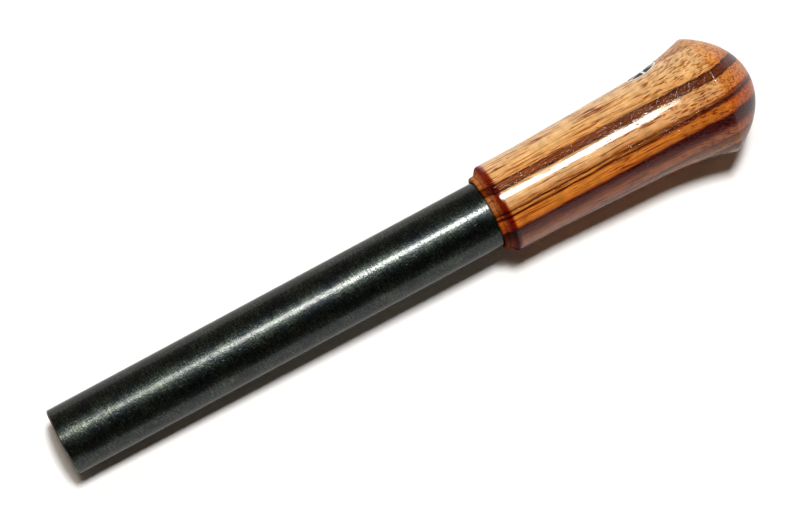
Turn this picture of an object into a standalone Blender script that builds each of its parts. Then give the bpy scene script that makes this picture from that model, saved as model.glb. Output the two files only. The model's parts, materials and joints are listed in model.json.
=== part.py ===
"""Ring mandrel: a plain round steel bar on a turned zebrano handle, lying at rest on its side.

The bar and the handle share one axis, local +X, from the bar's tip (x = 0) to the handle's dome.
The whole tool hangs on the empty tool_axis, which leans it so that the tip's lower edge and the
handle's ridge both touch the ground plane. All sizes below are millimetres.
"""
import math

import bmesh
import bpy
from mathutils import Vector

MM = 0.001

# Steel bar: three-quarter inch bright bar, blackened
BAR_RADIUS = 9.525
BAR_EXPOSED = 129.1
BAR_SEAT_DEPTH = 6.0
TIP_EDGE_BREAK = 0.35
BAR_HOLE_DEPTH = 27.0

# Turned handle, from its front face to its dome
LIP_WALL = 1.05
LIP_WIDTH = 1.25
LIP_ROUNDING = 0.5
GROOVE_DEPTH = 0.12
GROOVE_WIDTH = 0.25
CHAMFER_RUN = 1.45
CHAMFER_RISE = 1.83
CHAMFER_ROUNDING = 1.0
BARREL_LENGTH = 11.1
CONE_LENGTH = 33.0
CONE_RISE = 1.06
FLARE_LENGTH = 21.9
FLARE_ARC_RADIUS = 87.0
RIDGE_ROUNDING = 1.4
DOME_LENGTH = 12.45
DOME_CENTRE_SETBACK = 18.0

# Threaded joint inside the handle
STUD_RADIUS = 5.0
STUD_LENGTH = 50.0
STUD_CHAMFER = 0.8
INSERT_LENGTH = 25.0
INSERT_WALL = 1.6
INSERT_BARB = 0.8
INSERT_BARB_PITCH = 3.0
INSERT_FLANGE_RADIUS = 8.4
INSERT_FLANGE_THICKNESS = 1.5
DRILL_RUNOUT = 6.0
DRILL_POINT_ANGLE = math.radians(118)

# Medallion let into the side of the handle, where the flare begins. Its face follows the wood.
MEDALLION_RADIUS = 5.0
MEDALLION_THICKNESS = 2.2
MEDALLION_BLANK_RISE = 1.0
MEDALLION_RIM_WIDTH = 0.7
MEDALLION_PAST_CONE = 8.1
MEDALLION_ELEVATION = math.radians(19)
SPOKE_COUNT = 6
SPOKE_WIDTH = 0.7
HUB_RADIUS = 1.0
POCKET_DEPTH = 1.3
ENAMEL_RECESS = 0.15
ENAMEL_CLEARANCE = 0.08

# Gap that every seated piece keeps to its neighbour
SEAT_GAP = 0.3

BODY_FACETS = 64
STUD_FACETS = 32
INSERT_FACETS = 40
MEDALLION_FACETS = 48
FLARE_STEPS = 8
DOME_STEPS = 12

# Distances for joining points that fall together and for finding the edges of a flat face
WELD_DISTANCE = 0.001
FACE_TOLERANCE = 0.01

lip_radius = BAR_RADIUS + SEAT_GAP + LIP_WALL
barrel_radius = lip_radius + CHAMFER_RISE
bar_length = BAR_EXPOSED + BAR_SEAT_DEPTH
stud_hole_radius = STUD_RADIUS + SEAT_GAP
insert_radius = stud_hole_radius + INSERT_WALL
handle_x = BAR_EXPOSED
socket_depth = BAR_SEAT_DEPTH + SEAT_GAP
cone_x = handle_x + LIP_WIDTH + GROOVE_WIDTH + CHAMFER_RUN + BARREL_LENGTH
flare_x = cone_x + CONE_LENGTH
ridge_x = flare_x + FLARE_LENGTH
dome_x = ridge_x + DOME_LENGTH
flare_radius = barrel_radius + CONE_RISE
flare_angle = math.atan(CONE_RISE / CONE_LENGTH)


def flare_slope(x):
    """Angle at which the flare rises at this place."""
    return math.asin((x - flare_x) / FLARE_ARC_RADIUS + math.sin(flare_angle))


def wood_radius_in_flare(x):
    """Radius of the concave flare: an arc that leaves the cone along the cone's own slope."""
    centre_x = flare_x - FLARE_ARC_RADIUS * math.sin(flare_angle)
    centre_r = flare_radius + FLARE_ARC_RADIUS * math.cos(flare_angle)
    return centre_r - math.sqrt(FLARE_ARC_RADIUS ** 2 - (x - centre_x) ** 2)


def dome_outline(steps):
    """Quarter ellipse from the ridge to the apex, whose centre lies on the axis before the ridge."""
    half_length = DOME_CENTRE_SETBACK + DOME_LENGTH
    start = math.acos(DOME_CENTRE_SETBACK / half_length)
    half_width = wood_radius_in_flare(ridge_x) / math.sin(start)
    centre_x = ridge_x - DOME_CENTRE_SETBACK
    points = []
    for step in range(1, steps + 1):
        angle = start * (1 - step / steps)
        points.append((centre_x + half_length * math.cos(angle), half_width * math.sin(angle), 0))
    return points


def rounded(outline, arc_steps=4):
    """Turn (x, radius, rounding) corners into points, with an arc at each corner that is rounded."""
    points = []
    for index, (x, radius, rounding) in enumerate(outline):
        corner = Vector((x, radius))
        if not rounding:
            points.append(corner)
            continue
        before = (Vector(outline[index - 1][:2]) - corner).normalized()
        after = (Vector(outline[index + 1][:2]) - corner).normalized()
        half_angle = before.angle(after) / 2
        centre = corner + (before + after).normalized() * rounding / math.sin(half_angle)
        reach = rounding / math.tan(half_angle)
        first = corner + before * reach - centre
        last = corner + after * reach - centre
        for step in range(arc_steps + 1):
            points.append(centre + first.slerp(last, step / arc_steps).normalized() * rounding)
    return points


def drill_point(radius):
    """Length of the cone that a drill of this radius leaves at the bottom of its hole."""
    return radius / math.tan(DRILL_POINT_ANGLE / 2)


def surface(name, colour, roughness, metallic=0.0):
    material = bpy.data.materials.new(name)
    material.use_nodes = True
    shader = material.node_tree.nodes["Principled BSDF"]
    shader.inputs["Base Color"].default_value = (*colour, 1.0)
    shader.inputs["Roughness"].default_value = roughness
    shader.inputs["Metallic"].default_value = metallic
    return material


def add_piece(name, bm, material, parent):
    """Make one object of a finished mesh, shaded smooth up to its real edges."""
    bmesh.ops.recalc_face_normals(bm, faces=bm.faces)
    mesh = bpy.data.meshes.new(name)
    bm.to_mesh(mesh)
    bm.free()
    mesh.shade_smooth()
    mesh.set_sharp_from_angle(angle=math.radians(30))
    piece = bpy.data.objects.new(name, mesh)
    piece.parent = parent
    bpy.context.scene.collection.objects.link(piece)
    if material:
        mesh.materials.append(material)
    return piece


def turned(outline, facets, closed=False):
    """Spin an outline of (x, radius) points about +X, with a flat facet underneath."""
    bm = bmesh.new()
    phase = math.pi / facets
    verts = []
    for x, radius in outline:
        place = Vector((x, radius * math.sin(phase), -radius * math.cos(phase)))
        verts.append(bm.verts.new(place * MM))
    edges = [bm.edges.new(pair) for pair in zip(verts, verts[1:])]
    if closed:
        edges.append(bm.edges.new((verts[-1], verts[0])))
    bmesh.ops.spin(bm, geom=verts + edges, cent=(0, 0, 0), axis=(1, 0, 0), dvec=(0, 0, 0),
                   angle=2 * math.pi, steps=facets)
    bmesh.ops.remove_doubles(bm, verts=bm.verts, dist=WELD_DISTANCE * MM)
    return bm


def make_bar(parent):
    hole_end = bar_length - BAR_HOLE_DEPTH
    outline = [
        (0, 0, 0),
        (0, BAR_RADIUS - TIP_EDGE_BREAK, 0),
        (TIP_EDGE_BREAK, BAR_RADIUS, 0),
        (bar_length - TIP_EDGE_BREAK, BAR_RADIUS, 0),
        (bar_length, BAR_RADIUS - TIP_EDGE_BREAK, 0),
        (bar_length, stud_hole_radius, 0),
        (hole_end, stud_hole_radius, 0),
        (hole_end - drill_point(stud_hole_radius), 0, 0),
    ]
    steel = surface("black_oxide_steel", (0.010, 0.014, 0.014), 0.32, 1.0)
    return add_piece("mandrel_bar", turned(rounded(outline), BODY_FACETS), steel, parent)


def make_stud(parent):
    middle = bar_length
    ends = (middle - STUD_LENGTH / 2, middle + STUD_LENGTH / 2)
    outline = [
        (ends[0], 0, 0),
        (ends[0], STUD_RADIUS - STUD_CHAMFER, 0),
        (ends[0] + STUD_CHAMFER, STUD_RADIUS, 0),
        (ends[1] - STUD_CHAMFER, STUD_RADIUS, 0),
        (ends[1], STUD_RADIUS - STUD_CHAMFER, 0),
        (ends[1], 0, 0),
    ]
    zinc = surface("zinc_plated_steel", (0.55, 0.56, 0.58), 0.35, 1.0)
    return add_piece("joining_stud", turned(rounded(outline), STUD_FACETS), zinc, parent)


def make_insert(parent):
    """Brass sleeve with a flange under the bar and saw-tooth barbs that grip the wood."""
    front = handle_x + socket_depth + SEAT_GAP
    back = front + INSERT_LENGTH
    outline = [
        (front, stud_hole_radius, 0),
        (front, INSERT_FLANGE_RADIUS, 0),
        (front + INSERT_FLANGE_THICKNESS, INSERT_FLANGE_RADIUS, 0),
        (front + INSERT_FLANGE_THICKNESS, insert_radius, 0),
    ]
    barb_room = INSERT_LENGTH - INSERT_FLANGE_THICKNESS
    for barb in range(1, math.floor(barb_room / INSERT_BARB_PITCH)):
        step = front + INSERT_FLANGE_THICKNESS + barb * INSERT_BARB_PITCH
        outline.append((step, insert_radius, 0))
        outline.append((step, insert_radius + INSERT_BARB, 0))
        outline.append((step + INSERT_BARB_PITCH / 2, insert_radius, 0))
    outline.append((back, insert_radius, 0))
    outline.append((back, stud_hole_radius, 0))
    brass = surface("turned_brass", (0.72, 0.50, 0.20), 0.3, 1.0)
    bm = turned(rounded(outline), INSERT_FACETS, closed=True)
    return add_piece("handle_insert", bm, brass, parent)


def make_handle(parent, recess_cutter):
    """Lip, groove, chamfer, barrel, cone, flare, ridge and dome, bored from the front."""
    runout_radius = STUD_RADIUS + 2 * SEAT_GAP
    insert_bore = insert_radius + INSERT_BARB + SEAT_GAP
    flange_bore = INSERT_FLANGE_RADIUS + SEAT_GAP
    flange_floor = handle_x + socket_depth + SEAT_GAP + INSERT_FLANGE_THICKNESS + SEAT_GAP
    bore_end = handle_x + socket_depth + SEAT_GAP + INSERT_LENGTH + SEAT_GAP
    runout_end = bar_length + STUD_LENGTH / 2 + DRILL_RUNOUT
    socket_floor = handle_x + socket_depth
    socket_radius = BAR_RADIUS + SEAT_GAP
    groove_x = handle_x + LIP_WIDTH
    chamfer_x = groove_x + GROOVE_WIDTH
    outline = [
        (runout_end + drill_point(runout_radius), 0, 0),
        (runout_end, runout_radius, 0),
        (bore_end, runout_radius, 0),
        (bore_end, insert_bore, 0),
        (flange_floor, insert_bore, 0),
        (flange_floor, flange_bore, 0),
        (socket_floor, flange_bore, 0),
        (socket_floor, socket_radius, 0),
        (handle_x, socket_radius, 0),
        (handle_x, lip_radius, LIP_ROUNDING),
        (groove_x, lip_radius, 0),
        ((groove_x + chamfer_x) / 2, lip_radius - GROOVE_DEPTH, 0),
        (chamfer_x, lip_radius, 0),
        (chamfer_x + CHAMFER_RUN, barrel_radius, CHAMFER_ROUNDING),
        (cone_x, barrel_radius, 0),
        (flare_x, flare_radius, 0),
    ]
    for step in range(1, FLARE_STEPS):
        x = flare_x + FLARE_LENGTH * step / FLARE_STEPS
        outline.append((x, wood_radius_in_flare(x), 0))
    outline.append((ridge_x, wood_radius_in_flare(ridge_x), RIDGE_ROUNDING))
    outline += dome_outline(DOME_STEPS)
    zebrano = surface("lacquered_zebrano", (0.46, 0.22, 0.075), 0.22)
    handle = add_piece("handle", turned(rounded(outline), BODY_FACETS), zebrano, parent)
    cut_with(handle, "medallion recess", "DIFFERENCE", recess_cutter)
    return handle


def prism(bm, outline, bottom, top):
    """Closed upright prism over a flat outline of (x, y) points."""
    floor = bm.faces.new([bm.verts.new(Vector((x, y, bottom)) * MM) for x, y in outline])
    wall = bmesh.ops.extrude_face_region(bm, geom=[floor])
    lid = [item for item in wall["geom"] if isinstance(item, bmesh.types.BMVert)]
    bmesh.ops.translate(bm, verts=lid, vec=(0, 0, (top - bottom) * MM))


def circle(radius, facets):
    turns = [2 * math.pi * step / facets for step in range(facets)]
    return [(radius * math.cos(turn), radius * math.sin(turn)) for turn in turns]


def enamel_outline(field, shrink=0.0):
    """One field between two spokes, the hub and the rim, drawn smaller all round by shrink."""
    inner = HUB_RADIUS + shrink
    outer = MEDALLION_RADIUS - MEDALLION_RIM_WIDTH - shrink
    half_spoke = SPOKE_WIDTH / 2 + shrink
    pitch = 2 * math.pi / SPOKE_COUNT
    # The spokes stand across the tool's axis, so a field, not a spoke, points at the dome.
    start = (field - 0.5) * pitch
    points = []
    for radius, steps, forward in ((inner, 3, True), (outer, 7, False)):
        low = start + math.asin(half_spoke / radius)
        high = start + pitch - math.asin(half_spoke / radius)
        turns = [low + (high - low) * step / steps for step in range(steps + 1)]
        if not forward:
            turns.reverse()
        points += [(radius * math.cos(turn), radius * math.sin(turn)) for turn in turns]
    return points


def make_cutter(name, outlines, bottom, top, parent):
    bm = bmesh.new()
    for outline in outlines:
        prism(bm, outline, bottom, top)
    cutter = add_piece(name, bm, None, parent)
    cutter.hide_render = True
    cutter.display_type = "WIRE"
    return cutter


def make_wood_form(name, below, parent):
    """Cutter with the handle's own shape in the flare, smaller all round by this much."""
    outline = [Vector((flare_x, 0))]
    for step in range(FLARE_STEPS):
        x = flare_x + FLARE_LENGTH * step / FLARE_STEPS
        outline.append(Vector((x, wood_radius_in_flare(x) - below)))
    outline.append(Vector((x, 0)))
    form = add_piece(name, turned(outline, BODY_FACETS), None, parent)
    form.hide_render = True
    form.display_type = "WIRE"
    return form


def cut_with(piece, name, operation, cutter):
    cut = piece.modifiers.new(name, "BOOLEAN")
    cut.operation = operation
    cut.object = cutter


def make_medallion(seat, tool_axis):
    """Round plate with a rim, hub and spokes, cut to the round of the handle with its enamel."""
    pockets = [enamel_outline(field) for field in range(SPOKE_COUNT)]
    pocket_cutter = make_cutter("pocket_cutter", pockets, -POCKET_DEPTH, 2 * MEDALLION_BLANK_RISE, seat)
    bm = bmesh.new()
    prism(bm, circle(MEDALLION_RADIUS, MEDALLION_FACETS), -MEDALLION_THICKNESS, MEDALLION_BLANK_RISE)
    silver = surface("cast_white_metal", (0.62, 0.64, 0.64), 0.22, 1.0)
    plate = add_piece("medallion_plate", bm, silver, seat)
    cut_with(plate, "round of the handle", "INTERSECT", make_wood_form("plate_form", 0.0, tool_axis))
    cut_with(plate, "enamel pockets", "DIFFERENCE", pocket_cutter)
    enamel = surface("dark_enamel", (0.018, 0.035, 0.028), 0.12)
    enamel_form = make_wood_form("enamel_form", ENAMEL_RECESS, tool_axis)
    for number in range(SPOKE_COUNT):
        bm = bmesh.new()
        prism(bm, enamel_outline(number, ENAMEL_CLEARANCE), ENAMEL_CLEARANCE - POCKET_DEPTH,
              MEDALLION_BLANK_RISE)
        field = add_piece(f"enamel_field_{number + 1}", bm, enamel, seat)
        cut_with(field, "round of the handle", "INTERSECT", enamel_form)


def lay_on_ground(tool_axis):
    """Lean the tool until the bar's lower tip edge and the ridge touch the ground, then centre it.

    Seen from the side, the ridge is an arc of RIDGE_ROUNDING, so the lean is the slope of the
    line that starts at the tip edge and touches that arc from below.
    """
    ridge_top = max(point.y for point in ridge_arc())
    ridge_top_x = next(point.x for point in ridge_arc() if point.y == ridge_top)
    run = ridge_top_x - TIP_EDGE_BREAK
    rise = ridge_top - RIDGE_ROUNDING - BAR_RADIUS
    lean = math.atan2(rise, run) + math.asin(RIDGE_ROUNDING / math.hypot(run, rise))
    tool_axis.rotation_euler = (0, -lean, 0)
    bpy.context.view_layer.update()
    solids = [piece for piece in bpy.data.objects if piece.type == "MESH" and not piece.hide_render]
    places = [piece.matrix_world @ vert.co for piece in solids for vert in piece.data.vertices]
    lows = [min(place[axis] for place in places) for axis in range(3)]
    highs = [max(place[axis] for place in places) for axis in range(3)]
    tool_axis.location = (-(lows[0] + highs[0]) / 2, -(lows[1] + highs[1]) / 2, -lows[2])


def ridge_arc():
    """The ridge's own rounding, between its neighbours on the flare and the dome."""
    before_x = ridge_x - FLARE_LENGTH / FLARE_STEPS
    before = (before_x, wood_radius_in_flare(before_x), 0)
    corner = (ridge_x, wood_radius_in_flare(ridge_x), RIDGE_ROUNDING)
    return rounded([before, corner, dome_outline(DOME_STEPS)[0]], arc_steps=40)[1:-1]


def build():
    for old in list(bpy.data.objects):
        bpy.data.objects.remove(old, do_unlink=True)

    tool_axis = bpy.data.objects.new("tool_axis", None)
    bpy.context.scene.collection.objects.link(tool_axis)

    # The seat's +Z is the medallion's outward normal, and its +X runs along the tool. The
    # medallion lies along the rise of the flare, with the middle of its face level with the wood.
    medallion_x = flare_x + MEDALLION_PAST_CONE
    face_height = wood_radius_in_flare(medallion_x)
    medallion_seat = bpy.data.objects.new("medallion_seat", None)
    bpy.context.scene.collection.objects.link(medallion_seat)
    medallion_seat.parent = tool_axis
    medallion_seat.rotation_mode = "YXZ"
    medallion_seat.rotation_euler = (MEDALLION_ELEVATION - math.pi / 2, -flare_slope(medallion_x), 0)
    normal = Vector((0, math.cos(MEDALLION_ELEVATION), math.sin(MEDALLION_ELEVATION)))
    medallion_seat.location = (Vector((medallion_x, 0, 0)) + normal * face_height) * MM

    recess = [circle(MEDALLION_RADIUS + SEAT_GAP, MEDALLION_FACETS)]
    recess_floor = -MEDALLION_THICKNESS - SEAT_GAP
    recess_cutter = make_cutter("recess_cutter", recess, recess_floor, face_height, medallion_seat)

    make_bar(tool_axis)
    make_stud(tool_axis)
    make_insert(tool_axis)
    make_handle(tool_axis, recess_cutter)
    make_medallion(medallion_seat, tool_axis)
    lay_on_ground(tool_axis)


build()
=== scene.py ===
import json
import math

import bpy
from mathutils import Matrix, Vector


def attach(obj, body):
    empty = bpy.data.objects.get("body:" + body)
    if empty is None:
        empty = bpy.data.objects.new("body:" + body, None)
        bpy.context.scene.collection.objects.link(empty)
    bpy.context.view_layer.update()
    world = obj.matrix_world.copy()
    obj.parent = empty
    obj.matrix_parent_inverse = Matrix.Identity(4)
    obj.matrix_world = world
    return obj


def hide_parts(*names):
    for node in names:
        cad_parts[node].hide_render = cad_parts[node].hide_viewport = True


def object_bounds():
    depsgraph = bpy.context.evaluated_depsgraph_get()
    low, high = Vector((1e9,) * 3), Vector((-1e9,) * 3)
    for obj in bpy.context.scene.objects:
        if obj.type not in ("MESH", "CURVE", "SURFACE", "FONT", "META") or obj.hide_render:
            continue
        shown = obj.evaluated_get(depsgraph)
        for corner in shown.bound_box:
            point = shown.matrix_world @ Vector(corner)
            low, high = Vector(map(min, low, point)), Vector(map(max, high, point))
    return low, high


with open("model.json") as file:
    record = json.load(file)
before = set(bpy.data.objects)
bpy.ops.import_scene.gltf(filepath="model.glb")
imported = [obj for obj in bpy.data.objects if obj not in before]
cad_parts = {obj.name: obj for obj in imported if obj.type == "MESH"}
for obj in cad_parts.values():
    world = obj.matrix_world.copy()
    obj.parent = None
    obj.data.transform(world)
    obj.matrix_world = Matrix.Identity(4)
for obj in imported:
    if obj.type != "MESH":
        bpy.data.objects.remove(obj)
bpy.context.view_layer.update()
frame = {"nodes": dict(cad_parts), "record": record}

# ---------------------------------------------------------------------------------------------
# Mandrel bar
# Straight three-quarter inch bright steel bar, faced on the lathe with its edges just broken,
# blackened in a hot salt bath and oiled. Its inner end is drilled and tapped for the stud.
# ---------------------------------------------------------------------------------------------
MM = 0.001
BAR_RADIUS = 9.525
BAR_LENGTH = 135.1
BAR_EDGE_BREAK = 0.35
BAR_EDGE_ROUNDING = 0.12
STUD_HOLE_RADIUS = 5.3
BAR_HOLE_DEPTH = 27.0
DRILL_POINT = 3.18
WELD_DISTANCE = 0.002

# The bar and the handle share one axis. It starts at the middle of the bar's flat tip and leans
# up towards the handle, because the handle's ridge is wider than the bar.
tip_face = next(mount for mount in frame["record"]["mounts"] if mount["name"] == "tip_face")
tip = Vector(tip_face["pos_m"])
along = -Vector(tip_face["axis"]).normalized()
lean = math.atan2(along.z, along.x)
tool_place = Matrix.Translation(tip) @ Matrix.Rotation(-lean, 4, "Y")


def rounded(corners, grain, arc_steps=8):
    """Points along an outline of (x, radius, rounding) corners in millimetres, with an arc at
    each rounded corner and a point at least every grain millimetres, for even shading."""
    path = []
    for index, (x, radius, rounding) in enumerate(corners):
        corner = Vector((x, radius))
        if not rounding:
            path.append(corner)
            continue
        before = (Vector(corners[index - 1][:2]) - corner).normalized()
        after = (Vector(corners[index + 1][:2]) - corner).normalized()
        half_angle = before.angle(after) / 2
        centre = corner + (before + after).normalized() * rounding / math.sin(half_angle)
        reach = rounding / math.tan(half_angle)
        first = (corner + before * reach - centre).normalized()
        last = (corner + after * reach - centre).normalized()
        for step in range(arc_steps + 1):
            path.append(centre + first.slerp(last, step / arc_steps).normalized() * rounding)
    points = [path[0]]
    for start, end in zip(path, path[1:]):
        pieces = max(1, math.ceil((end - start).length / grain))
        points += [start.lerp(end, piece / pieces) for piece in range(1, pieces + 1)]
    return points


def select_only(piece):
    bpy.ops.object.select_all(action="DESELECT")
    piece.select_set(True)
    bpy.context.view_layer.objects.active = piece


def turn_on_lathe(name, outline, segments):
    """Draw an outline of (x, radius) points with one vertex, and spin it about X."""
    bpy.ops.object.select_all(action="DESELECT")
    bpy.ops.mesh.primitive_plane_add(size=MM)
    piece = bpy.context.object
    piece.name = name
    bpy.ops.object.mode_set(mode="EDIT")
    bpy.ops.mesh.select_mode(type="VERT")
    bpy.ops.mesh.select_all(action="SELECT")
    bpy.ops.mesh.merge(type="CENTER")
    places = [Vector((x, 0, radius)) * MM for x, radius in outline]
    bpy.ops.transform.translate(value=places[0])
    for here, there in zip(places, places[1:]):
        bpy.ops.mesh.extrude_region_move(TRANSFORM_OT_translate={"value": there - here})
    bpy.ops.mesh.select_all(action="SELECT")
    bpy.ops.mesh.spin(steps=segments, angle=2 * math.pi, center=(0, 0, 0), axis=(1, 0, 0))
    bpy.ops.mesh.select_all(action="SELECT")
    bpy.ops.mesh.remove_doubles(threshold=WELD_DISTANCE * MM)
    bpy.ops.mesh.normals_make_consistent(inside=False)
    bpy.ops.object.mode_set(mode="OBJECT")
    return piece


def finish_piece(piece, place, material, node, sharp_degrees=30):
    """Shade a finished piece, bake its place into its mesh, and let it stand for its CAD node."""
    select_only(piece)
    bpy.ops.object.shade_smooth_by_angle(angle=math.radians(sharp_degrees))
    piece.matrix_world = place
    bpy.ops.object.transform_apply(location=True, rotation=True, scale=True)
    piece.data.materials.clear()
    piece.data.materials.append(material)
    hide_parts(node)
    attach(piece, "root")


def colour(code):
    """Linear RGBA of an sRGB hex colour."""
    channels = [int(code[start:start + 2], 16) / 255 for start in (1, 3, 5)]
    return [c / 12.92 if c <= 0.04045 else ((c + 0.055) / 1.055) ** 2.4 for c in channels] + [1]


def new_material(name, **settings):
    """A material's name, node tree and Principled shader, with the given sockets set."""
    material = bpy.data.materials.new(name)
    material.use_nodes = True
    shader = material.node_tree.nodes["Principled BSDF"]
    for socket, value in settings.items():
        shader.inputs[socket.replace("_", " ")].default_value = value
    return material, material.node_tree, shader


def add_node(tree, kind, inputs=None, **settings):
    """Add a node with its settings. An input is given a value, an output socket, or a node,
    which stands for that node's first output in use."""
    node = tree.nodes.new("ShaderNode" + kind)
    for name, value in settings.items():
        setattr(node, name, value)
    for socket, value in (inputs or {}).items():
        if isinstance(value, bpy.types.Node):
            value = next(output for output in value.outputs if output.enabled)
        if isinstance(value, bpy.types.NodeSocket):
            tree.links.new(value, node.inputs[socket])
        else:
            node.inputs[socket].default_value = value
    return node


def paint_ramp(node, stops):
    """Fill a colour ramp with (position, sRGB hex) stops."""
    ramp = node.color_ramp
    ramp.elements.remove(ramp.elements[1])
    ramp.elements[0].position = stops[0][0]
    ramp.elements[0].color = colour(stops[0][1])
    for position, code in stops[1:]:
        ramp.elements.new(position).color = colour(code)


def tool_millimetres(tree, turn=0.0):
    """The tool's own coordinates in millimetres: X from the tip, and Y and Z across, which may
    be turned about the axis."""
    place = add_node(tree, "TexCoord").outputs["Object"]
    return add_node(tree, "Mapping", {"Vector": place, "Location": tip,
                                      "Rotation": (turn, -lean, 0), "Scale": (MM, MM, MM)},
                    vector_type="TEXTURE")


def black_oxide_steel():
    """Magnetite skin on turned steel under an oil film: nearly black, with a broad grey-green
    glow from the etched grain and a bright line where the oil mirrors the lamp. Short tool
    strokes round the bar and pits break the bright line up, and the bare tip edge has rusted."""
    material, tree, shader = new_material(
        "black_oxide_steel", Metallic=1.0, Roughness=0.34, Specular_Tint=colour("#7C8084"),
        Coat_Weight=0.52, Coat_Roughness=0.16, Coat_IOR=1.5)
    place = tool_millimetres(tree)
    axes = add_node(tree, "SeparateXYZ", {0: place})
    # The etched grain is really finer than this: it is drawn just coarse enough to show.
    grit_size = add_node(tree, "VectorMath", {0: place, 1: (0.34, 0.34, 0.34)}, operation="DIVIDE")
    grit = add_node(tree, "TexNoise", {"Vector": grit_size, "Scale": 1, "Detail": 2})
    cloud_size = add_node(tree, "VectorMath", {0: place, 1: (7, 4, 4)}, operation="DIVIDE")
    cloud = add_node(tree, "TexNoise", {"Vector": cloud_size, "Scale": 1, "Detail": 3})

    # The bar's surface unrolled: X along it, slanted a little by the feed, and Y round it.
    turn = add_node(tree, "Math", {0: axes.outputs["Y"], 1: axes.outputs["Z"]}, operation="ARCTAN2")
    round_bar = add_node(tree, "Math", {0: turn, 1: BAR_RADIUS}, operation="MULTIPLY")
    slanted = add_node(tree, "Math", {0: round_bar, 1: 0.15, 2: axes.outputs["X"]},
                       operation="MULTIPLY_ADD")
    unrolled = add_node(tree, "CombineXYZ", {"X": slanted, "Y": round_bar})
    stroke_size = add_node(tree, "VectorMath", {0: unrolled, 1: (0.34, 2.2, 1)}, operation="DIVIDE")
    stroke = add_node(tree, "TexNoise", {"Vector": stroke_size, "Scale": 1, "Detail": 2})
    chatter_size = add_node(tree, "VectorMath", {0: unrolled, 1: (1.3, 3.0, 1)}, operation="DIVIDE")
    chatter = add_node(tree, "TexNoise", {"Vector": chatter_size, "Scale": 1, "Detail": 1})
    ring_size = add_node(tree, "VectorMath", {0: place, 1: (3.6, 110, 110)}, operation="DIVIDE")
    ring_noise = add_node(tree, "TexNoise", {"Vector": ring_size, "Scale": 1, "Detail": 1})
    ring_level = add_node(tree, "Math", {0: ring_noise, 1: 0.5}, operation="SUBTRACT")
    ring_distance = add_node(tree, "Math", {0: ring_level}, operation="ABSOLUTE")
    ring = add_node(tree, "MapRange", {"Value": ring_distance, "From Max": 0.012, "To Min": 1.0,
                                       "To Max": 0.0})

    # Grain, strokes and clouds share the colour of the skin, and pits and rings darken it.
    fine = add_node(tree, "Mix", {0: 0.4, 2: grit, 3: stroke})
    mottle = add_node(tree, "Mix", {0: 0.25, 2: fine, 3: cloud})
    skin = add_node(tree, "ValToRGB", {0: mottle})
    paint_ramp(skin, [(0.36, "#060C1C"), (0.5, "#212727"), (0.64, "#4E5848")])
    pit_size = add_node(tree, "VectorMath", {0: unrolled, 1: (0.45, 0.6, 1)}, operation="DIVIDE")
    pit_noise = add_node(tree, "TexNoise", {"Vector": pit_size, "Scale": 1, "Detail": 1})
    pit = add_node(tree, "MapRange", {"Value": pit_noise, "From Min": 0.6, "From Max": 0.7})
    cuts = add_node(tree, "Math", {0: ring, 1: 0.3, 2: pit}, operation="MULTIPLY_ADD")
    cut_shade = add_node(tree, "MapRange", {"Value": cuts, "To Min": 1.0, "To Max": 0.3})
    shaded = add_node(tree, "VectorMath", {0: skin, 1: cut_shade}, operation="MULTIPLY")

    # Rust on the broken edge of the tip, in spots, most of it on the +Y side.
    off_axis = add_node(tree, "VectorMath", {0: place, 1: (0, 1, 1)}, operation="MULTIPLY")
    off_centre = add_node(tree, "VectorMath", {0: off_axis}, operation="LENGTH")
    rim = add_node(tree, "MapRange", {"Value": off_centre.outputs["Value"],
                                      "From Min": BAR_RADIUS - 1.3, "From Max": BAR_RADIUS - 0.4})
    edge = add_node(tree, "MapRange", {"Value": axes.outputs["X"], "From Min": 0.3,
                                       "From Max": 0.6, "To Min": rim, "To Max": 0.0})
    upper = add_node(tree, "MapRange", {"Value": axes.outputs["Y"], "From Min": -2.0,
                                        "From Max": 6.0, "To Min": 0.1, "To Max": 1.0})
    spot_size = add_node(tree, "VectorMath", {0: place, 1: (1.3, 1.3, 1.3)}, operation="DIVIDE")
    spot = add_node(tree, "TexNoise", {"Vector": spot_size, "Scale": 1, "Detail": 3})
    spotted = add_node(tree, "MapRange", {"Value": spot, "From Min": 0.44, "From Max": 0.6})
    edge_spots = add_node(tree, "Math", {0: edge, 1: spotted}, operation="MULTIPLY")
    rust_share = add_node(tree, "Math", {0: edge_spots, 1: upper}, operation="MULTIPLY")
    rusted = add_node(tree, "Mix", {0: rust_share, 6: shaded, 7: colour("#8A4A24")},
                      data_type="RGBA")
    tree.links.new(rusted.outputs[2], shader.inputs["Base Color"])

    strokes = add_node(tree, "Math", {0: stroke, 1: chatter}, operation="ADD")
    grained = add_node(tree, "Math", {0: strokes, 1: grit}, operation="ADD")
    cut = add_node(tree, "Math", {0: grained, 1: cuts}, operation="SUBTRACT")
    for socket, depth in (("Normal", 0.045), ("Coat Normal", 0.022)):
        bump = add_node(tree, "Bump", {"Strength": 1.0, "Distance": depth * MM, "Height": cut})
        tree.links.new(bump.outputs[0], shader.inputs[socket])
    return material


bar = turn_on_lathe("mandrel_bar_steel", rounded([
    (0, 0, 0),
    (0, BAR_RADIUS - BAR_EDGE_BREAK, BAR_EDGE_ROUNDING),
    (BAR_EDGE_BREAK, BAR_RADIUS, BAR_EDGE_ROUNDING),
    (BAR_LENGTH - BAR_EDGE_BREAK, BAR_RADIUS, BAR_EDGE_ROUNDING),
    (BAR_LENGTH, BAR_RADIUS - BAR_EDGE_BREAK, BAR_EDGE_ROUNDING),
    (BAR_LENGTH, STUD_HOLE_RADIUS, 0),
    (BAR_LENGTH - BAR_HOLE_DEPTH, STUD_HOLE_RADIUS, 0),
    (BAR_LENGTH - BAR_HOLE_DEPTH - DRILL_POINT, 0, 0),
], grain=2.0), segments=160)
finish_piece(bar, tool_place, black_oxide_steel(), "mandrel_bar")

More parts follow.
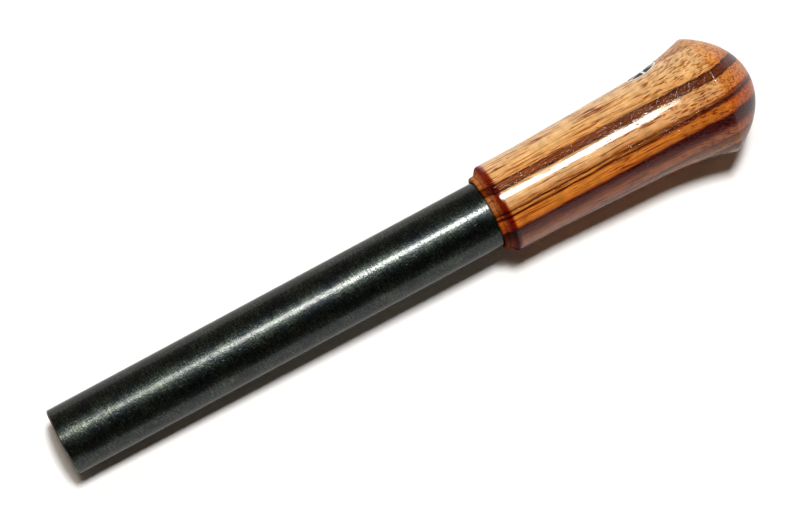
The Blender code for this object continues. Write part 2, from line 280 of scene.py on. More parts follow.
# ---------------------------------------------------------------------------------------------
# Joining stud
# M10 threaded steel rod, zinc plated, locked into the bar with thread-locking compound and
# screwed into the handle's brass insert. It is hidden in the assembled tool.
# ---------------------------------------------------------------------------------------------


def zinc_plated_steel():
    """Bright zinc plating with a blue passivate: light cool grey metal with a faint mottle."""
    material, tree, shader = new_material("zinc_plated_steel", Metallic=1.0, Roughness=0.3)
    place = tool_millimetres(tree)
    spangle_size = add_node(tree, "VectorMath", {0: place, 1: (0.8, 0.8, 0.8)}, operation="DIVIDE")
    spangle = add_node(tree, "TexNoise", {"Vector": spangle_size, "Scale": 1, "Detail": 4})
    plating = add_node(tree, "ValToRGB", {0: spangle})
    paint_ramp(plating, [(0.3, "#A9AEB4"), (0.55, "#C3C7CB"), (0.75, "#CFD0C4")])
    tree.links.new(plating.outputs[0], shader.inputs["Base Color"])
    return material


stud = frame["nodes"]["joining_stud"]
stud.data.materials.clear()
stud.data.materials.append(zinc_plated_steel())

# ---------------------------------------------------------------------------------------------
# Handle insert
# Flanged brass sleeve, turned with saw-tooth barbs and tapped M10, glued and pressed into the
# handle's bore. It is hidden under the bar's inner end.
# ---------------------------------------------------------------------------------------------


def turned_brass():
    """Free-cutting brass straight from the lathe: warm yellow metal with fine turning rings."""
    material, tree, shader = new_material("turned_brass", Metallic=1.0, Roughness=0.28)
    place = tool_millimetres(tree)
    ring_size = add_node(tree, "VectorMath", {0: place, 1: (0.3, 30, 30)}, operation="DIVIDE")
    ring = add_node(tree, "TexNoise", {"Vector": ring_size, "Scale": 1, "Detail": 3})
    brass = add_node(tree, "ValToRGB", {0: ring})
    paint_ramp(brass, [(0.3, "#B98F45"), (0.7, "#DDB768")])
    tree.links.new(brass.outputs[0], shader.inputs["Base Color"])
    bump = add_node(tree, "Bump", {"Strength": 0.4, "Distance": 0.02 * MM, "Height": ring})
    tree.links.new(bump.outputs[0], shader.inputs["Normal"])
    return material


insert = frame["nodes"]["handle_insert"]
insert.data.materials.clear()
insert.data.materials.append(turned_brass())

# ---------------------------------------------------------------------------------------------
# Handle
# One piece of zebrano turned between centres: a thin lip round the bar, a scribed groove, a
# chamfer, a barrel and cone, and a flare up to a ridge and dome. Sprayed with gloss lacquer.
# ---------------------------------------------------------------------------------------------
HANDLE_X = 129.1
SOCKET_RADIUS = 9.825
SOCKET_DEPTH = 6.3
LIP_RADIUS = 10.875
LIP_ROUNDING = 0.5
GROOVE_START = 130.35
GROOVE_MIDDLE = 130.475
CHAMFER_START = 130.6
GROOVE_DEPTH = 0.12
BARREL_START = 132.05
BARREL_RADIUS = 12.705
CHAMFER_ROUNDING = 1.0
CONE_START = 143.15
CONE_LENGTH = 33.0
CONE_RISE = 1.06
FLARE_START = 176.15
FLARE_ARC_RADIUS = 87.0
FLARE_STEPS = 36
RIDGE_X = 198.05
RIDGE_ROUNDING = 1.4
DOME_X = 210.5
DOME_CENTRE_SETBACK = 18.0
DOME_STEPS = 40
FLANGE_BORE_RADIUS = 8.7
FLANGE_BORE_END = 137.5
INSERT_BORE_RADIUS = 8.0
INSERT_BORE_END = 161.0
RUNOUT_BORE_RADIUS = 5.6
RUNOUT_BORE_END = 166.1
RUNOUT_POINT = 3.36
RECESS_X = 184.25
RECESS_RADIUS = 5.08
RECESS_DEPTH = 2.5
RECESS_ELEVATION = math.radians(19)


def flare_radius(x):
    """Concave flare: an arc that leaves the cone along the cone's own slope."""
    slope = math.atan(CONE_RISE / CONE_LENGTH)
    centre_x = FLARE_START - FLARE_ARC_RADIUS * math.sin(slope)
    centre_radius = BARREL_RADIUS + CONE_RISE + FLARE_ARC_RADIUS * math.cos(slope)
    return centre_radius - math.sqrt(FLARE_ARC_RADIUS ** 2 - (x - centre_x) ** 2)


def flare_slope(x):
    """Angle at which the flare rises at this place."""
    first_slope = math.atan(CONE_RISE / CONE_LENGTH)
    return math.asin((x - FLARE_START) / FLARE_ARC_RADIUS + math.sin(first_slope))


def dome_point(share):
    """Quarter ellipse from the ridge (0) to the apex (1), centred on the axis before the ridge."""
    half_length = DOME_CENTRE_SETBACK + DOME_X - RIDGE_X
    start = math.acos(DOME_CENTRE_SETBACK / half_length)
    half_width = flare_radius(RIDGE_X) / math.sin(start)
    angle = start * (1 - share)
    x = RIDGE_X - DOME_CENTRE_SETBACK + half_length * math.cos(angle)
    return (x, half_width * math.sin(angle), 0)


handle_outline = [
    (RUNOUT_BORE_END + RUNOUT_POINT, 0, 0),
    (RUNOUT_BORE_END, RUNOUT_BORE_RADIUS, 0),
    (INSERT_BORE_END, RUNOUT_BORE_RADIUS, 0),
    (INSERT_BORE_END, INSERT_BORE_RADIUS, 0),
    (FLANGE_BORE_END, INSERT_BORE_RADIUS, 0),
    (FLANGE_BORE_END, FLANGE_BORE_RADIUS, 0),
    (HANDLE_X + SOCKET_DEPTH, FLANGE_BORE_RADIUS, 0),
    (HANDLE_X + SOCKET_DEPTH, SOCKET_RADIUS, 0),
    (HANDLE_X, SOCKET_RADIUS, 0),
    (HANDLE_X, LIP_RADIUS, LIP_ROUNDING),
    (GROOVE_START, LIP_RADIUS, 0),
    (GROOVE_MIDDLE, LIP_RADIUS - GROOVE_DEPTH, 0),
    (CHAMFER_START, LIP_RADIUS, 0),
    (BARREL_START, BARREL_RADIUS, CHAMFER_ROUNDING),
    (CONE_START, BARREL_RADIUS, 0),
    (FLARE_START, BARREL_RADIUS + CONE_RISE, 0),
]
for step in range(1, FLARE_STEPS):
    x = FLARE_START + (RIDGE_X - FLARE_START) * step / FLARE_STEPS
    handle_outline.append((x, flare_radius(x), 0))
handle_outline.append((RIDGE_X, flare_radius(RIDGE_X), RIDGE_ROUNDING))
# The dome's first two points would fall inside the ridge's rounding.
handle_outline += [dome_point(step / DOME_STEPS) for step in range(3, DOME_STEPS + 1)]


LAYER_REACH = 18.0
LAYERS_LIE = math.radians(24)
FRONT_LAYERS = [
    (-17.0, "#C48A4E"), (-15.6, "#6E3416"), (-14.6, "#5A200E"), (-14.2, "#BC7E44"),
    (-11.6, "#6B3018"), (-11.0, "#B0693C"), (-9.4, "#A05C32"), (-8.6, "#8A4A28"),
    (-7.9, "#662C12"), (-7.3, "#5C220C"), (-6.6, "#4E1206"), (-5.6, "#420602"),
    (-5.2, "#A8561E"), (-4.7, "#D07A2C"), (-2.4, "#DC8C3A"), (-1.95, "#C4702A"),
    (-1.75, "#521802"), (-1.3, "#581A02"), (-1.1, "#C88438"), (-0.6, "#C88438"),
    (-0.42, "#5A2204"), (-0.1, "#642A08"), (0.15, "#B87438"), (2.4, "#E6BA84"),
    (5.45, "#DCA868"), (5.7, "#2E1206"), (6.2, "#7A3E16"), (7.4, "#86441A"),
    (7.8, "#301206"), (8.05, "#DCA05C"), (10.5, "#E8B87A"), (14.5, "#F2CC9A")]
BACK_LAYERS = [
    (-17.0, "#C48A4E"), (-15.9, "#6E3416"), (-14.6, "#5A200E"), (-14.2, "#BC7E44"),
    (-11.6, "#6B3018"), (-11.0, "#B0693C"), (-9.4, "#A05C32"), (-8.9, "#823C16"),
    (-8.3, "#4C0C04"), (-7.0, "#420402"), (-5.4, "#3C0202"), (-5.1, "#8A3A12"),
    (-4.7, "#C4702A"), (-2.6, "#D48032"), (-2.0, "#BE6A24"), (-1.5, "#8A3C12"),
    (-1.3, "#44140A"), (-0.7, "#4E1C0A"), (-0.4, "#9A5420"), (0.0, "#7E3C10"),
    (0.5, "#D89A5E"), (3.6, "#E0AC72"), (4.9, "#D69C60"), (5.15, "#2E1206"),
    (5.6, "#6A3410"), (7.0, "#66300E"), (7.45, "#301206"), (7.75, "#D69A58"),
    (9.5, "#E4B478"), (14.5, "#ECC490"), (15.0, "#C08A56"), (15.7, "#DAA464")]
# What the finish does to the wood along the tool: end grain soaks it up and turns dark.
# The dark line at the scribed groove is painted shade in the groove. The dark band on the
# chamfer is partly soaked end grain and partly painted shade, where the chamfer faces away
# from the lamps.
SOAKED_AND_SHADED = [
    (129.1, "#CCA488"), (130.3, "#CCA488"), (130.45, "#5A3020"), (130.65, "#D0A080"),
    (131.1, "#C08058"), (131.6, "#8E3818"), (132.6, "#822A0E"), (133.1, "#B05C34"),
    (133.5, "#FFFFFF"),
    (197.4, "#FFFFFF"), (199.0, "#F8D8A0"), (203.5, "#F0C488"), (211.0, "#E8B87C")]


def lacquered_zebrano():
    """Zebrano, quarter sawn: tan and orange wood with dark brown stripes where it slices the
    growth layers, fine fibre streaks, and open pores that show as short red-brown dashes. The
    clear gloss lacquer gives a sharp white highlight, which breaks up over the pores."""
    material, tree, shader = new_material(
        "lacquered_zebrano", Roughness=0.6, Specular_IOR_Level=0.0, Coat_Weight=0.6,
        Coat_Roughness=0.12, Coat_IOR=1.5)
    grain = tool_millimetres(tree, turn=LAYERS_LIE)
    axes = add_node(tree, "SeparateXYZ", {0: grain})

    # The layers run along the tool and bend outwards near the dome, with a slow wave.
    run = add_node(tree, "MapRange", {"Value": axes.outputs["X"], "From Min": HANDLE_X,
                                      "From Max": RIDGE_X + 6})
    bend = add_node(tree, "Math", {0: run, 1: 4.0}, operation="POWER")
    wave_size = add_node(tree, "VectorMath", {0: grain, 1: (22, 4, 9)}, operation="DIVIDE")
    wave = add_node(tree, "TexNoise", {"Vector": wave_size, "Scale": 1, "Detail": 3})
    wave_drift = add_node(tree, "MapRange", {"Value": wave, "From Min": 0.25, "From Max": 0.75,
                                             "To Min": -0.3, "To Max": 0.3})
    straight = add_node(tree, "Math", {0: axes.outputs["Y"], 1: bend}, operation="SUBTRACT")
    waved = add_node(tree, "Math", {0: straight, 1: wave_drift}, operation="ADD")
    fray_size = add_node(tree, "VectorMath", {0: grain, 1: (5, 0.3, 0.4)}, operation="DIVIDE")
    fray = add_node(tree, "TexNoise", {"Vector": fray_size, "Scale": 1, "Detail": 2})
    fray_drift = add_node(tree, "MapRange", {"Value": fray, "From Min": 0.3, "From Max": 0.7,
                                             "To Min": -0.12, "To Max": 0.12})
    layer = add_node(tree, "Math", {0: waved, 1: fray_drift}, operation="ADD")
    depth = add_node(tree, "MapRange", {"Value": layer, "From Min": -LAYER_REACH,
                                        "From Max": LAYER_REACH})

    # Layers near the front of the handle feather out into the same layers near the dome.
    front = add_node(tree, "ValToRGB", {0: depth})
    back = add_node(tree, "ValToRGB", {0: depth})
    for ramp, layers in ((front, FRONT_LAYERS), (back, BACK_LAYERS)):
        paint_ramp(ramp, [((mm / LAYER_REACH + 1) / 2, code) for mm, code in layers])
    feather_size = add_node(tree, "VectorMath", {0: grain, 1: (12, 0.4, 0.8)}, operation="DIVIDE")
    feather = add_node(tree, "TexNoise", {"Vector": feather_size, "Scale": 1, "Detail": 2})
    feathered = add_node(tree, "Math", {0: run, 1: feather}, operation="ADD")
    share = add_node(tree, "MapRange", {"Value": feathered, "From Min": 0.85, "From Max": 1.3},
                     interpolation_type="SMOOTHSTEP")
    stripes = add_node(tree, "Mix", {0: share, 6: front, 7: back}, data_type="RGBA")

    # Fibre streaks: broad warm and pale ones, and thin dark ones.
    streak_size = add_node(tree, "VectorMath", {0: grain, 1: (20, 0.9, 1.4)}, operation="DIVIDE")
    streak = add_node(tree, "TexNoise", {"Vector": streak_size, "Scale": 1, "Detail": 4,
                                         "Roughness": 0.65})
    streak_tint = add_node(tree, "ValToRGB", {0: streak})
    paint_ramp(streak_tint, [(0.3, "#E0BA94"), (0.42, "#F6F0E8"), (0.55, "#FFFFFF")])
    streaked = add_node(tree, "Mix", {0: 1.0, 6: stripes.outputs[2], 7: streak_tint},
                        data_type="RGBA", blend_type="MULTIPLY")
    thread_size = add_node(tree, "VectorMath", {0: grain, 1: (9, 0.45, 0.55)}, operation="DIVIDE")
    thread = add_node(tree, "TexNoise", {"Vector": thread_size, "Scale": 1, "Detail": 1})
    thread_tint = add_node(tree, "ValToRGB", {0: thread})
    paint_ramp(thread_tint, [(0.32, "#A0623A"), (0.4, "#EED8C0"), (0.48, "#FFFFFF")])
    threaded = add_node(tree, "Mix", {0: 0.9, 6: streaked.outputs[2], 7: thread_tint},
                        data_type="RGBA", blend_type="MULTIPLY")
    hair_size = add_node(tree, "VectorMath", {0: grain, 1: (24, 1.1, 1.3)}, operation="DIVIDE")
    hair_noise = add_node(tree, "TexNoise", {"Vector": hair_size, "Scale": 1, "Detail": 2})
    hair_level = add_node(tree, "Math", {0: hair_noise, 1: 0.5}, operation="SUBTRACT")
    hair_distance = add_node(tree, "Math", {0: hair_level}, operation="ABSOLUTE")
    hair = add_node(tree, "MapRange", {"Value": hair_distance, "From Min": 0.008,
                                       "From Max": 0.022, "To Min": 1.0, "To Max": 0.0})
    hair_share = add_node(tree, "MapRange", {"Value": streak, "From Min": 0.44, "From Max": 0.54,
                                             "To Min": 1.0, "To Max": 0.3})
    hairs = add_node(tree, "Math", {0: hair, 1: hair_share}, operation="MULTIPLY")
    haired = add_node(tree, "Mix", {0: hairs, 6: threaded.outputs[2], 7: colour("#A2683C")},
                      data_type="RGBA", blend_type="MULTIPLY")
    # Ripple figure: light and dark bands across the grain. This is a painted sheen, standing in for
    # the light that the wavy fibres catch.
    ripple_size = add_node(tree, "VectorMath", {0: grain, 1: (2.2, 5, 5)}, operation="DIVIDE")
    ripple = add_node(tree, "TexNoise", {"Vector": ripple_size, "Scale": 1, "Detail": 2})
    painted_ripple_sheen = add_node(tree, "MapRange", {"Value": ripple, "From Min": 0.3, "From Max": 0.7,
                                               "To Min": 0.84, "To Max": 1.16})
    ripple_sheened = add_node(tree, "VectorMath", {0: haired.outputs[2], 1: painted_ripple_sheen},
                       operation="MULTIPLY")

    # Open pores: one vessel to each long cell, crowded in some places and bare in others.
    # Long vessels lie along the barrel, and short ones come out where the flare cuts them.
    colours = ripple_sheened
    pore_heights = []
    for cell_size, crowd_size, crowd_from, wall, crowded, tint in (
            ((10, 0.5, 0.56), (20, 1.6, 2.2), 0.5, 0.26, 1.0, "#98400F"),
            ((6.2, 0.44, 0.8), (11, 1.8, 2.6), 0.4, 0.27, share, "#6E2406")):
        cells = add_node(tree, "VectorMath", {0: grain, 1: cell_size}, operation="DIVIDE")
        vessel = add_node(tree, "TexVoronoi", {"Vector": cells, "Scale": 1})
        pore = add_node(tree, "MapRange", {"Value": vessel, "From Min": wall * 0.8,
                                           "From Max": wall * 1.15, "To Min": 1.0, "To Max": 0.0})
        crowds = add_node(tree, "VectorMath", {0: grain, 1: crowd_size}, operation="DIVIDE")
        crowd = add_node(tree, "TexNoise", {"Vector": crowds, "Scale": 1, "Detail": 2})
        crowding = add_node(tree, "MapRange", {"Value": crowd, "From Min": crowd_from,
                                               "From Max": crowd_from + 0.1, "To Max": crowded})
        shown_pore = add_node(tree, "Math", {0: pore, 1: crowding}, operation="MULTIPLY")
        pore_heights.append(shown_pore)
        tinted = add_node(tree, "Mix", {0: shown_pore, 6: colours, 7: colour(tint)},
                          data_type="RGBA", blend_type="DARKEN")
        colours = tinted.outputs[2]

    # End grain soaks up the finish, and painted shade darkens the groove and the chamfer.
    soak_and_shade_place = add_node(tree, "MapRange", {"Value": axes.outputs["X"], "From Min": SOAKED_AND_SHADED[0][0],
                                             "From Max": SOAKED_AND_SHADED[-1][0]})
    soak_and_shade = add_node(tree, "ValToRGB", {0: soak_and_shade_place})
    reach = SOAKED_AND_SHADED[-1][0] - SOAKED_AND_SHADED[0][0]
    paint_ramp(soak_and_shade, [((mm - SOAKED_AND_SHADED[0][0]) / reach, code) for mm, code in SOAKED_AND_SHADED])
    soaked_and_shaded = add_node(tree, "Mix", {0: 1.0, 6: colours, 7: soak_and_shade}, data_type="RGBA",
                      blend_type="MULTIPLY")
    tree.links.new(soaked_and_shaded.outputs[2], shader.inputs["Base Color"])

    # The end grain of the lip and the chamfer has drunk its lacquer and is left dull.
    gloss = add_node(tree, "MapRange", {"Value": axes.outputs["X"], "From Min": BARREL_START,
                                        "From Max": BARREL_START + 0.8, "To Min": 0.08,
                                        "To Max": 0.6})
    tree.links.new(gloss.outputs[0], shader.inputs["Coat Weight"])

    # The dark layers have the largest pores, which the lacquer doesn't fill: they glitter. The
    # lacquer sinks a little over the fibres, and hardly covers the lip's rough end grain.
    darkness = add_node(tree, "RGBToBW", {0: stripes.outputs[2]})
    dark = add_node(tree, "MapRange", {"Value": darkness, "From Min": 0.09, "From Max": 0.28,
                                       "To Min": 1.0, "To Max": 0.05})
    pit_size = add_node(tree, "VectorMath", {0: grain, 1: (0.75, 0.48, 0.48)}, operation="DIVIDE")
    pits = add_node(tree, "TexNoise", {"Vector": pit_size, "Scale": 1, "Detail": 1})
    pit = add_node(tree, "MapRange", {"Value": pits, "From Min": 0.5, "From Max": 0.66})
    pitted = add_node(tree, "Math", {0: pit, 1: dark}, operation="MULTIPLY")
    pores = add_node(tree, "Math", {0: pore_heights[0], 1: pore_heights[1]}, operation="ADD")
    deep_pores = add_node(tree, "Math", {0: pores, 1: 2.0}, operation="MULTIPLY")
    open_grain = add_node(tree, "Math", {0: pitted, 1: 3.3, 2: deep_pores},
                          operation="MULTIPLY_ADD")
    fibres = add_node(tree, "Math", {0: thread, 1: 0.2, 2: ripple}, operation="MULTIPLY_ADD")
    lacquer = add_node(tree, "Math", {0: fibres, 1: open_grain}, operation="SUBTRACT")
    fuzz_size = add_node(tree, "VectorMath", {0: grain, 1: (0.3, 0.3, 0.3)}, operation="DIVIDE")
    fuzz = add_node(tree, "TexNoise", {"Vector": fuzz_size, "Scale": 1, "Detail": 1})
    on_lip = add_node(tree, "MapRange", {"Value": axes.outputs["X"], "From Min": GROOVE_START,
                                         "From Max": CHAMFER_START, "To Min": 8.0, "To Max": 0.0})
    on_dome = add_node(tree, "MapRange", {"Value": axes.outputs["X"], "From Min": RIDGE_X - 2,
                                          "From Max": RIDGE_X, "To Max": 2.0})
    on_ends = add_node(tree, "Math", {0: on_lip, 1: on_dome}, operation="ADD")
    height = add_node(tree, "Math", {0: fuzz, 1: on_ends, 2: lacquer}, operation="MULTIPLY_ADD")
    bump = add_node(tree, "Bump", {"Strength": 1.0, "Distance": 0.016 * MM, "Height": height})
    tree.links.new(bump.outputs[0], shader.inputs["Normal"])
    tree.links.new(bump.outputs[0], shader.inputs["Coat Normal"])
    return material


# The recess for the medallion is drilled where the flare begins, square to its rise. The
# medallion's own +Z is its outward normal, and its +X runs along the tool.
outward = Vector((0, math.cos(RECESS_ELEVATION), math.sin(RECESS_ELEVATION)))
face_height = flare_radius(RECESS_X)
face_middle = (Vector((RECESS_X, 0, 0)) + outward * face_height) * MM
medallion_place = (tool_place @ Matrix.Translation(face_middle)
                   @ Matrix.Rotation(RECESS_ELEVATION - math.pi / 2, 4, "X")
                   @ Matrix.Rotation(-flare_slope(RECESS_X), 4, "Y"))

handle = turn_on_lathe("zebrano_handle", rounded(handle_outline, grain=0.6), segments=192)
bpy.ops.object.select_all(action="DESELECT")
drill_length = RECESS_DEPTH + face_height
bpy.ops.mesh.primitive_cylinder_add(vertices=96, radius=RECESS_RADIUS * MM,
                                    depth=drill_length * MM)
drill = bpy.context.object
drill.matrix_world = (tool_place.inverted() @ medallion_place
                      @ Matrix.Translation((0, 0, (drill_length / 2 - RECESS_DEPTH) * MM)))
select_only(handle)
recess = handle.modifiers.new("medallion_recess", "BOOLEAN")
recess.object = drill
recess.operation = "DIFFERENCE"
recess.solver = "EXACT"
bpy.ops.object.modifier_apply(modifier=recess.name)
bpy.data.objects.remove(drill)
finish_piece(handle, tool_place, lacquered_zebrano(), "handle")

# ---------------------------------------------------------------------------------------------
# Medallion plate
# Small cast white-metal disc with a raised rim, a hub and six spokes. Its face is curved to the
# round of the handle and polished, and it is glued into the recess in the wood.
# ---------------------------------------------------------------------------------------------


def cast_white_metal():
    """Polished white metal: a bright, slightly warm silver mirror with faint casting mottle."""
    material, tree, shader = new_material("cast_white_metal", Metallic=1.0, Roughness=0.2)
    place = tool_millimetres(tree)
    mottle_size = add_node(tree, "VectorMath", {0: place, 1: (0.6, 0.6, 0.6)}, operation="DIVIDE")
    mottle = add_node(tree, "TexNoise", {"Vector": mottle_size, "Scale": 1, "Detail": 4})
    silver = add_node(tree, "ValToRGB", {0: mottle})
    paint_ramp(silver, [(0.3, "#B4B7B4"), (0.7, "#DADCD8")])
    tree.links.new(silver.outputs[0], shader.inputs["Base Color"])
    return material


MEDALLION_RADIUS = 5.0
MEDALLION_THICKNESS = 2.2
MEDALLION_RIM_WIDTH = 0.7
POCKET_DEPTH = 0.55
HUB_RADIUS = 1.0
SPOKE_COUNT = 6
SPOKE_WIDTH = 0.7
RIB_OVERLAP = 0.05
MEDALLION_EDGE = 0.15
FLAT_FOOT = 0.1
CURVE_STRIPS = 24

bpy.ops.object.select_all(action="DESELECT")
bpy.ops.mesh.primitive_cylinder_add(vertices=96, radius=MEDALLION_RADIUS * MM,
                                    depth=MEDALLION_THICKNESS * MM,
                                    location=(0, 0, -MEDALLION_THICKNESS / 2 * MM))
medallion = bpy.context.object
medallion.name = "white_metal_medallion"
bpy.ops.object.transform_apply(location=True, rotation=True, scale=True)


def select_faces(piece, wanted):
    """In edit mode, select the faces whose middle and normal pass the test, and nothing else."""
    bpy.ops.mesh.select_mode(type="FACE")
    bpy.ops.mesh.select_all(action="DESELECT")
    bpy.ops.object.mode_set(mode="OBJECT")
    for face in piece.data.polygons:
        face.select = wanted(face.center, face.normal)
    bpy.ops.object.mode_set(mode="EDIT")


def faces_up(centre, normal):
    return normal.z > 0.9


bpy.ops.object.mode_set(mode="EDIT")
select_faces(medallion, faces_up)
bpy.ops.mesh.inset(thickness=MEDALLION_RIM_WIDTH * MM)
bpy.ops.mesh.extrude_region_move(TRANSFORM_OT_translate={"value": (0, 0, -POCKET_DEPTH * MM)})
bpy.ops.object.mode_set(mode="OBJECT")

# The hub and three ribs that cross under it stand in the dish and join its floor and its rim.
rib_height = POCKET_DEPTH + RIB_OVERLAP
ribs = []
bpy.ops.object.select_all(action="DESELECT")
bpy.ops.mesh.primitive_cylinder_add(vertices=48, radius=HUB_RADIUS * MM, depth=rib_height * MM)
ribs.append(bpy.context.object)
for turn in range(SPOKE_COUNT // 2):
    bpy.ops.object.select_all(action="DESELECT")
    bpy.ops.mesh.primitive_cube_add(size=MM)
    spoke = bpy.context.object
    spoke.scale = (2 * (MEDALLION_RADIUS - MEDALLION_RIM_WIDTH / 2), SPOKE_WIDTH, rib_height)
    spoke.rotation_euler = (0, 0, math.pi / SPOKE_COUNT * (2 * turn + 1))
    ribs.append(spoke)
for rib in ribs:
    rib.location = (0, 0, -rib_height / 2 * MM)
    select_only(rib)
    bpy.ops.object.transform_apply(location=True, rotation=True, scale=True)
    select_only(medallion)
    join = medallion.modifiers.new("rib", "BOOLEAN")
    join.object = rib
    join.operation = "UNION"
    join.solver = "EXACT"
    bpy.ops.object.modifier_apply(modifier=join.name)
    bpy.data.objects.remove(rib)


def curve_to_handle(piece, kept_flat=None):
    """Bend a flat piece about the tool's axis, so that its face follows the round of the wood,
    except below a height in millimetres that is kept flat."""
    select_only(piece)
    bpy.ops.object.mode_set(mode="EDIT")
    for strip in range(1, CURVE_STRIPS):
        across = (2 * strip / CURVE_STRIPS - 1) * MEDALLION_RADIUS
        bpy.ops.mesh.select_all(action="SELECT")
        bpy.ops.mesh.bisect(plane_co=(0, across * MM, 0), plane_no=(0, 1, 0))
    bpy.ops.object.mode_set(mode="OBJECT")
    bent = piece.vertex_groups.new(name="bent")
    bent.add([vertex.index for vertex in piece.data.vertices
              if kept_flat is None or vertex.co.z > kept_flat * MM], 1.0, "REPLACE")
    # The bend works across X and about Z, so the piece is laid on its side for it.
    on_side = Matrix(((0, 1, 0), (0, 0, 1), (1, 0, 0))).to_4x4()
    for turned_by in (on_side, None, on_side.inverted()):
        if turned_by:
            piece.matrix_world = turned_by
            bpy.ops.object.transform_apply(location=True, rotation=True, scale=True)
            continue
        bend = piece.modifiers.new("round_of_handle", "SIMPLE_DEFORM")
        bend.deform_method = "BEND"
        bend.deform_axis = "Z"
        bend.angle = -piece.dimensions.x / (face_height * MM)
        bend.vertex_group = bent.name
        bpy.ops.object.modifier_apply(modifier=bend.name)


edges = medallion.modifiers.new("cast_edges", "BEVEL")
edges.width = MEDALLION_EDGE * MM
edges.segments = 3
edges.limit_method = "ANGLE"
edges.angle_limit = math.radians(50)
bpy.ops.object.modifier_apply(modifier=edges.name)
curve_to_handle(medallion, kept_flat=FLAT_FOOT - MEDALLION_THICKNESS)
finish_piece(medallion, medallion_place, cast_white_metal(), "medallion_plate")

# ---------------------------------------------------------------------------------------------
# Enamel fields
# Six fields of dark green cold enamel, flooded into the medallion's pockets and ground back to
# the curve of its face, just below the metal.
# ---------------------------------------------------------------------------------------------


def dark_enamel():
    """Cold enamel: dark green cloudy resin, dulled by grinding, with only a faint sheen."""
    material, tree, shader = new_material("dark_enamel", Roughness=0.5, Specular_IOR_Level=0.1)
    place = tool_millimetres(tree)
    cloud_size = add_node(tree, "VectorMath", {0: place, 1: (1.2, 1.2, 1.2)}, operation="DIVIDE")
    cloud = add_node(tree, "TexNoise", {"Vector": cloud_size, "Scale": 1, "Detail": 3})
    green = add_node(tree, "ValToRGB", {0: cloud})
    paint_ramp(green, [(0.3, "#18241E"), (0.7, "#3A4A36")])
    tree.links.new(green.outputs[0], shader.inputs["Base Color"])
    return material


ENAMEL_CLEARANCE = 0.08
ENAMEL_RECESS = 0.15
ENAMEL_EDGE = 0.12
enamel = dark_enamel()
enamel_radius = MEDALLION_RADIUS - MEDALLION_RIM_WIDTH - ENAMEL_CLEARANCE
enamel_thickness = POCKET_DEPTH - ENAMEL_CLEARANCE - ENAMEL_RECESS
half_spoke = SPOKE_WIDTH / 2 + ENAMEL_CLEARANCE
half_pitch = math.pi / SPOKE_COUNT
bpy.ops.object.select_all(action="DESELECT")
bpy.ops.mesh.primitive_cylinder_add(vertices=144, radius=enamel_radius * MM,
                                    depth=enamel_thickness * MM,
                                    location=(0, 0, -(ENAMEL_RECESS + enamel_thickness / 2) * MM))
field = bpy.context.object
bpy.ops.object.transform_apply(location=True, rotation=True, scale=True)
bpy.ops.object.mode_set(mode="EDIT")
cuts = [(Vector((HUB_RADIUS + ENAMEL_CLEARANCE, 0, 0)), Vector((-1, 0, 0)))]
for side in (1, -1):
    spoke_side = Vector((-math.sin(half_pitch), side * math.cos(half_pitch), 0))
    cuts.append((-spoke_side * half_spoke, spoke_side))
for point, normal in cuts:
    bpy.ops.mesh.select_all(action="SELECT")
    bpy.ops.mesh.bisect(plane_co=point * MM, plane_no=normal, use_fill=True, clear_outer=True)
bpy.ops.object.mode_set(mode="OBJECT")
rounding = field.modifiers.new("flooded_edges", "BEVEL")
rounding.width = ENAMEL_EDGE * MM
rounding.segments = 3
rounding.limit_method = "ANGLE"
rounding.angle_limit = math.radians(40)
bpy.ops.object.modifier_apply(modifier=rounding.name)
fields = [field]
for number in range(1, SPOKE_COUNT):
    select_only(field)
    bpy.ops.object.duplicate()
    fields.append(bpy.context.object)
for number, copy in enumerate(fields):
    copy.name = f"green_enamel_{number + 1}"
    select_only(copy)
    copy.matrix_world = Matrix.Rotation(2 * half_pitch * number, 4, "Z")
    bpy.ops.object.transform_apply(location=True, rotation=True, scale=True)
    curve_to_handle(copy)
    finish_piece(copy, medallion_place, enamel, f"enamel_field_{number + 1}")

# ---------------------------------------------------------------------------------------------
# Table, light and camera
# A wide table under matt white paper, a strong and a weak soft box almost straight above that
# lean a little beyond the tool, and a dim warm room. None of it is part of the object.
# ---------------------------------------------------------------------------------------------
TABLE_SIZE = 12.0
LAMP_DISTANCE = 2.0
# Each lamp's lean towards the handle and beyond the tool in degrees, its size along and across
# in metres, its power in watts and its colour.
LAMPS = {"soft_box": (9.3, 4.7, 0.24, 0.36, 31.0, "#FFFFFF"),
         "side_box": (1.6, 5.0, 0.29, 0.4, 10.6, "#FFF6EA")}
# Half the length and half the width in metres of the paper that the tool covers.
COVERED_PAPER = (0.108, 0.022, 0)

bpy.ops.object.select_all(action="DESELECT")
bpy.ops.mesh.primitive_plane_add(size=TABLE_SIZE, location=(0, 0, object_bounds()[0][2]))
table = bpy.context.object
table.name = "table"
paper, paper_tree, paper_shader = new_material("matt_white_paper", Roughness=0.9,
                                               Specular_IOR_Level=0.0)
rays = add_node(paper_tree, "LightPath")
seen = add_node(paper_tree, "Math", {0: rays.outputs["Is Camera Ray"],
                                     1: rays.outputs["Is Glossy Ray"]}, operation="MAXIMUM")
seen_through = add_node(paper_tree, "Math", {0: seen, 1: rays.outputs["Is Transmission Ray"]},
                        operation="MAXIMUM")
white = add_node(paper_tree, "Mix", {0: seen_through, 6: colour("#E8E8EA"), 7: colour("#FFFFFF")},
                 data_type="RGBA")
paper_tree.links.new(white.outputs[2], paper_shader.inputs["Base Color"])
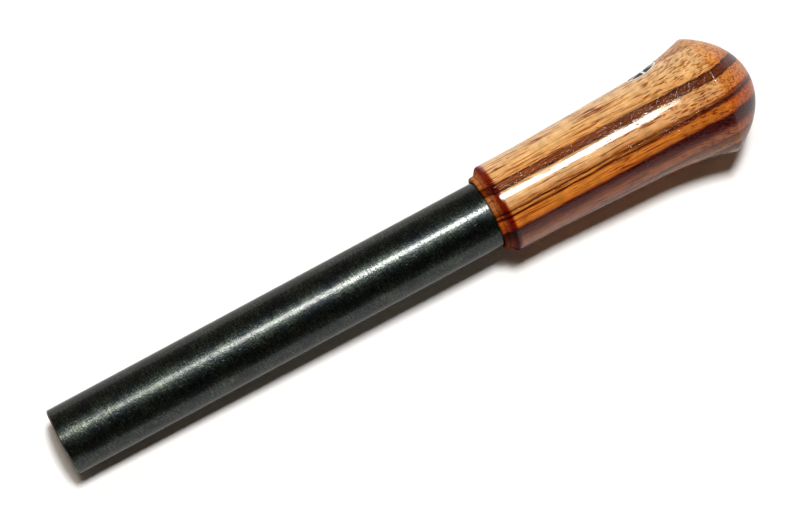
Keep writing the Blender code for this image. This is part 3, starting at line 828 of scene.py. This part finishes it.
# Away from the tool and its shadow the paper is seen as plain white, however far it runs.
table_place = add_node(paper_tree, "TexCoord").outputs["Object"]
beyond = add_node(paper_tree, "VectorMath", {0: table_place}, operation="ABSOLUTE")
clear = add_node(paper_tree, "VectorMath", {0: beyond, 1: COVERED_PAPER}, operation="SUBTRACT")
outside = add_node(paper_tree, "VectorMath", {0: clear, 1: (0, 0, 0)}, operation="MAXIMUM")
distance = add_node(paper_tree, "VectorMath", {0: outside}, operation="LENGTH")
near_white = add_node(paper_tree, "MapRange", {"Value": distance.outputs["Value"],
                                               "From Max": 0.02, "To Max": 0.1})
far_white = add_node(paper_tree, "MapRange", {"Value": distance.outputs["Value"], "From Min": 0.5,
                                              "From Max": 2.5, "To Max": 0.85})
added_white = add_node(paper_tree, "Math", {0: near_white, 1: far_white}, operation="ADD")
glow = add_node(paper_tree, "Math", {0: added_white, 1: seen_through}, operation="MULTIPLY")
paper_tree.links.new(glow.outputs[0], paper_shader.inputs["Emission Strength"])
paper_shader.inputs["Emission Color"].default_value = colour("#FFFFFF")
table.data.materials.append(paper)

for name, (lean_along, lean_across, size_along, size_across, watts, tint) in LAMPS.items():
    over_tool = Matrix.Rotation(-math.radians(lean_across), 3, "X")
    to_handle = Matrix.Rotation(math.radians(lean_along), 3, "Y")
    turned = Matrix.Rotation(-lean, 3, "Y") @ over_tool @ to_handle
    lamp_data = bpy.data.lights.new(name, "AREA")
    lamp_data.shape = "RECTANGLE"
    lamp_data.size, lamp_data.size_y = size_along, size_across
    lamp_data.energy = watts
    lamp_data.color = colour(tint)[:3]
    lamp = bpy.data.objects.new(name, lamp_data)
    bpy.context.scene.collection.objects.link(lamp)
    lamp_place = turned @ Vector((0, 0, LAMP_DISTANCE))
    lamp.matrix_world = Matrix.Translation(lamp_place) @ turned.to_4x4()

# The room is dark overhead and paler low down, most of all on the wall behind the tool.
room = bpy.data.worlds.new("room")
bpy.context.scene.world = room
room.use_nodes = True
room_tree = room.node_tree
direction = add_node(room_tree, "TexCoord").outputs["Generated"]
upward = add_node(room_tree, "VectorMath", {0: direction, 1: (0, -0.3, 1)},
                  operation="DOT_PRODUCT")
room_ramp = add_node(room_tree, "ValToRGB", {0: upward.outputs["Value"]})
paint_ramp(room_ramp, [(0.0, "#90887C"), (0.13, "#72695E"), (0.35, "#665D52"), (0.55, "#5C5247"),
                       (0.75, "#332D27"), (0.9, "#262019")])
room_tree.links.new(room_ramp.outputs[0], room_tree.nodes["Background"].inputs["Color"])

CAMERA_PLACE = Vector((-0.09775, -0.17313, 0.68658))
CAMERA_AIM = Vector((-0.00344, -0.00101, 0.01320))
CAMERA_LENS = 117.2
CAMERA_SENSOR = 36
camera_data = bpy.data.cameras.new("camera")
camera_data.lens = CAMERA_LENS
camera_data.sensor_width = CAMERA_SENSOR
camera = bpy.data.objects.new("camera", camera_data)
bpy.context.scene.collection.objects.link(camera)
camera.location = CAMERA_PLACE
camera.rotation_euler = (CAMERA_AIM - CAMERA_PLACE).to_track_quat("-Z", "Y").to_euler()
bpy.context.scene.camera = camera
bpy.context.scene.view_settings.view_transform = "Standard"
